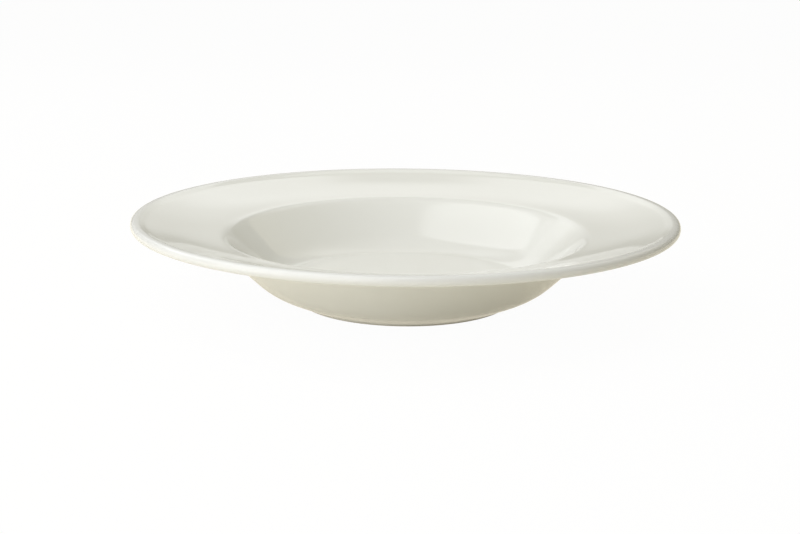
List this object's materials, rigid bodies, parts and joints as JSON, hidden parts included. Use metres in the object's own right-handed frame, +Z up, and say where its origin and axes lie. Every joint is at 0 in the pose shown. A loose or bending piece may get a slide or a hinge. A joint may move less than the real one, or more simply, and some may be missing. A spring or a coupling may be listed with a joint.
{
  "type": "pasta bowl",
  "caption": "Wide-rimmed ivory glazed pasta bowl: flared rim with a rolled edge bead, rounded shoulder, coved well with a flat floor, and a low foot ring with a bare contact band.",
  "frame": {"origin": "middle of the foot ring, in the plane of the table", "axes": "+Z up along the bowl's axis; +X to the right and +Y away in the picture's view; the bowl is turned, so X and Y are alike"},
  "size_m": [0.3, 0.3, 0.0489],
  "materials": {
    "bisque": "matte fired clay, bare on the foot ring",
    "glaze": "glossy ivory glaze",
    "base_glaze": "glossy ivory glaze, thinner than on the outside"
  },
  "bodies": {
    "root": {"ceramic_body": "bisque", "glaze_coat": "glaze", "base_glaze": "base_glaze"}
  },
  "joints": []
}
